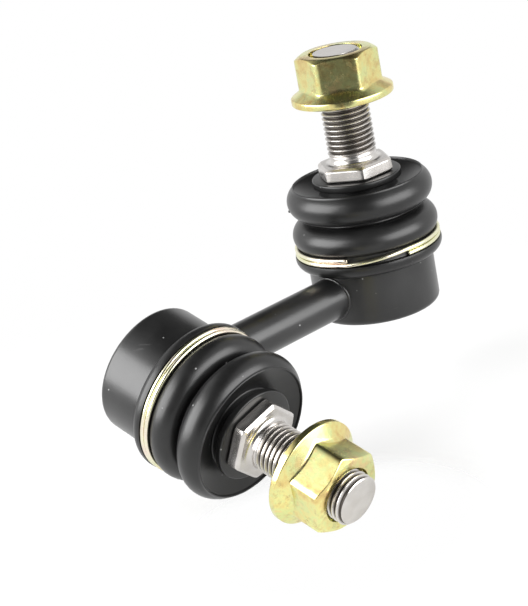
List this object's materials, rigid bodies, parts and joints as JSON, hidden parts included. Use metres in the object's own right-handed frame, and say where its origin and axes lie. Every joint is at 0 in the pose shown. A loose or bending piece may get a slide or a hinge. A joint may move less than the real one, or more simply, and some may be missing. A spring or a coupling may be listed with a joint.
{
  "type": "stabilizer link",
  "caption": "Short round rod with a sealed ball joint at each end, threaded studs pointing different ways, rubber boots, wire clamps and flange nuts; ties a stabilizer bar to a suspension.",
  "frame": {"origin": "middle of the upper stud's seat, the collar face that a bracket rests on, on the stud's axis", "axes": "+Z out along the upper stud, -X along the rod from the upper joint to the lower one, +Y across both"},
  "size_m": [0.106, 0.0747, 0.0862],
  "materials": {
    "black_coat": "satin",
    "boot_rubber": "matte",
    "bare_steel": "bright machined",
    "ring_steel": "plain",
    "yellow_zinc": "yellow zinc chromate",
    "seat_plastic": "moulded acetal"
  },
  "bodies": {
    "link": {"rod": "black_coat", "upper_weld": "black_coat", "lower_weld": "black_coat", "upper_end_cap": "black_coat", "upper_ball_seat": "seat_plastic", "upper_housing": "black_coat", "upper_boot": "boot_rubber", "upper_clamp_ring": "yellow_zinc", "lower_end_cap": "black_coat", "lower_ball_seat": "seat_plastic", "lower_housing": "black_coat", "lower_boot": "boot_rubber", "lower_clamp_ring": "yellow_zinc"},
    "upper_ball": {"upper_ball": "bare_steel"},
    "upper_neck": {"upper_neck_ring": "ring_steel"},
    "upper_stud": {"upper_ball_stud": "bare_steel"},
    "upper_nut": {"upper_flange_nut": "yellow_zinc"},
    "lower_ball": {"lower_ball": "bare_steel"},
    "lower_neck": {"lower_neck_ring": "ring_steel"},
    "lower_stud": {"lower_ball_stud": "bare_steel"},
    "lower_nut": {"lower_flange_nut": "yellow_zinc"}
  },
  "joints": [
    {"name": "upper_swing_side", "type": "hinge", "parent": "link", "child": "upper_ball", "pos_m": [0, 0, -0.02425], "axis": [1, 0, 0], "range_deg": [-18, 18], "deforming": ["upper_boot"]},
    {"name": "upper_swing_fore", "type": "hinge", "parent": "upper_ball", "child": "upper_neck", "pos_m": [0, 0, -0.02425], "axis": [0, 1, 0], "range_deg": [-18, 18], "deforming": ["upper_boot"]},
    {"name": "upper_spin", "type": "hinge", "parent": "upper_neck", "child": "upper_stud", "pos_m": [0, 0, -0.02425], "axis": [0, 0, 1], "continuous": true},
    {"name": "upper_nut_run", "type": "slide", "parent": "upper_stud", "child": "upper_nut", "axis": [0, 0, 1], "range_m": [-0.0132, 0.0236]},
    {"name": "lower_swing_side", "type": "hinge", "parent": "link", "child": "lower_ball", "pos_m": [-0.0695, -0.00611, -0.03297], "axis": [1, 0, 0], "range_deg": [-18, 18], "deforming": ["lower_boot"]},
    {"name": "lower_swing_fore", "type": "hinge", "parent": "lower_ball", "child": "lower_neck", "pos_m": [-0.0695, -0.00611, -0.03297], "axis": [0, -0.342, 0.9397], "range_deg": [-18, 18], "deforming": ["lower_boot"]},
    {"name": "lower_spin", "type": "hinge", "parent": "lower_neck", "child": "lower_stud", "pos_m": [-0.0695, -0.00611, -0.03297], "axis": [0, -0.9397, -0.342], "continuous": true},
    {"name": "lower_nut_run", "type": "slide", "parent": "lower_stud", "child": "lower_nut", "axis": [0, -0.9397, -0.342], "range_m": [-0.0101, 0.0267]}
  ]
}
